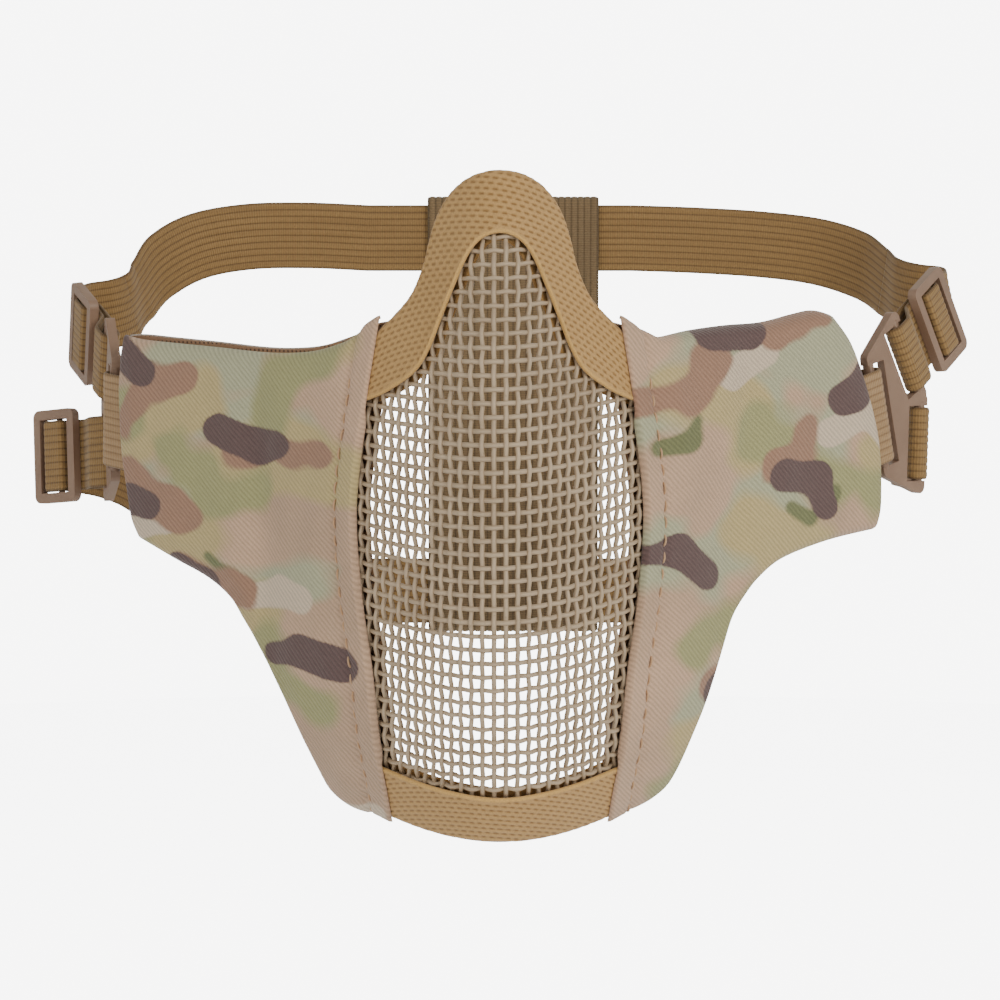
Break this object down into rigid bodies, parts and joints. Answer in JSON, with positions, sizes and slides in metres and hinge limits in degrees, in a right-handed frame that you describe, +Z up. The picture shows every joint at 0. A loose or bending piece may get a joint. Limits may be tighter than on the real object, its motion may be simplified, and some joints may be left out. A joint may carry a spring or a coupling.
{
  "type": "half-face mesh mask",
  "caption": "Half-face mask: formed wire mesh over nose and mouth, padded camouflage cloth wings, buckles and two elastic head bands joined at the back.",
  "frame": {"origin": "the wearer's lips, 20 mm behind the foremost wire of the mesh, on the mask's middle line (mount face_seat)", "axes": "+X towards the wearer's left, right in a front view; +Y towards the back of the head; +Z up"},
  "size_m": [0.2677, 0.1885, 0.1724],
  "materials": {
    "mesh_wire": "satin powder coat",
    "webbing": "woven webbing",
    "camo_cloth": "printed cotton and nylon twill",
    "lining_cloth": "brushed knit",
    "foam": "open-cell foam",
    "thread": "twisted thread",
    "moulded_plastic": "fine matte",
    "elastic": "ribbed elastic webbing",
    "connector_elastic": "ribbed elastic webbing"
  },
  "bodies": {
    "mask": {"mesh_panel": "mesh_wire", "nose_binding": "webbing", "chin_binding": "webbing", "left_cheek_cover": "camo_cloth", "left_cheek_foam": "foam", "left_cheek_lining": "lining_cloth", "left_window_stitching": "thread", "right_cheek_cover": "camo_cloth", "right_cheek_foam": "foam", "right_cheek_lining": "lining_cloth", "right_window_stitching": "thread", "upper_strap": "elastic", "lower_strap": "elastic"},
    "left_wing": {"left_wing_cover": "camo_cloth", "left_wing_foam": "foam", "left_wing_lining": "lining_cloth", "left_tab": "webbing"},
    "left_buckle": {"left_buckle": "moulded_plastic"},
    "left_upper_slider": {"left_upper_slider": "moulded_plastic"},
    "left_lower_slider": {"left_lower_slider": "moulded_plastic"},
    "right_wing": {"right_wing_cover": "camo_cloth", "right_wing_foam": "foam", "right_wing_lining": "lining_cloth", "right_tab": "webbing"},
    "right_buckle": {"right_buckle": "moulded_plastic"},
    "right_upper_slider": {"right_upper_slider": "moulded_plastic"},
    "right_lower_slider": {"right_lower_slider": "moulded_plastic"},
    "rear_connector": {"rear_connector": "connector_elastic", "connector_stitching": "thread"}
  },
  "joints": [
    {"name": "left_wing_fold", "type": "hinge", "parent": "mask", "child": "left_wing", "pos_m": [-0.0541, 0.0385, 0], "axis": [0, 0, -1], "range_deg": [-10, 50], "stiffness_Nm_per_rad": 0.02},
    {"name": "left_buckle_swing", "type": "hinge", "parent": "left_wing", "child": "left_buckle", "pos_m": [-0.106, 0.075, 0.0142], "axis": [-0.036, 0.1344, -0.9903], "range_deg": [-60, 10]},
    {"name": "left_upper_adjust", "type": "slide", "parent": "left_buckle", "child": "left_upper_slider", "axis": [0.4477, -0.8016, -0.3963], "range_m": [0, 0.006], "deforming": ["upper_strap"]},
    {"name": "left_lower_adjust", "type": "slide", "parent": "left_buckle", "child": "left_lower_slider", "axis": [0.7967, -0.5944, 0.1097], "range_m": [0, 0.006], "deforming": ["lower_strap"]},
    {"name": "right_wing_fold", "type": "hinge", "parent": "mask", "child": "right_wing", "pos_m": [0.0541, 0.0385, 0], "axis": [0, 0, 1], "range_deg": [-10, 50], "stiffness_Nm_per_rad": 0.02},
    {"name": "right_buckle_swing", "type": "hinge", "parent": "right_wing", "child": "right_buckle", "pos_m": [0.1031, 0.0722, 0.0152], "axis": [-0.1798, -0.1619, 0.9703], "range_deg": [-35, 35]},
    {"name": "right_upper_adjust", "type": "slide", "parent": "right_buckle", "child": "right_upper_slider", "axis": [-0.5442, -0.6773, -0.4951], "range_m": [0, 0.006], "deforming": ["upper_strap"]},
    {"name": "right_lower_adjust", "type": "slide", "parent": "right_buckle", "child": "right_lower_slider", "axis": [0.0874, -0.9959, 0.021], "range_m": [0, 0.006], "deforming": ["lower_strap"]},
    {"name": "connector_shift", "type": "slide", "parent": "mask", "child": "rear_connector", "axis": [1, 0, 0], "range_m": [-0.008, 0.008]}
  ]
}
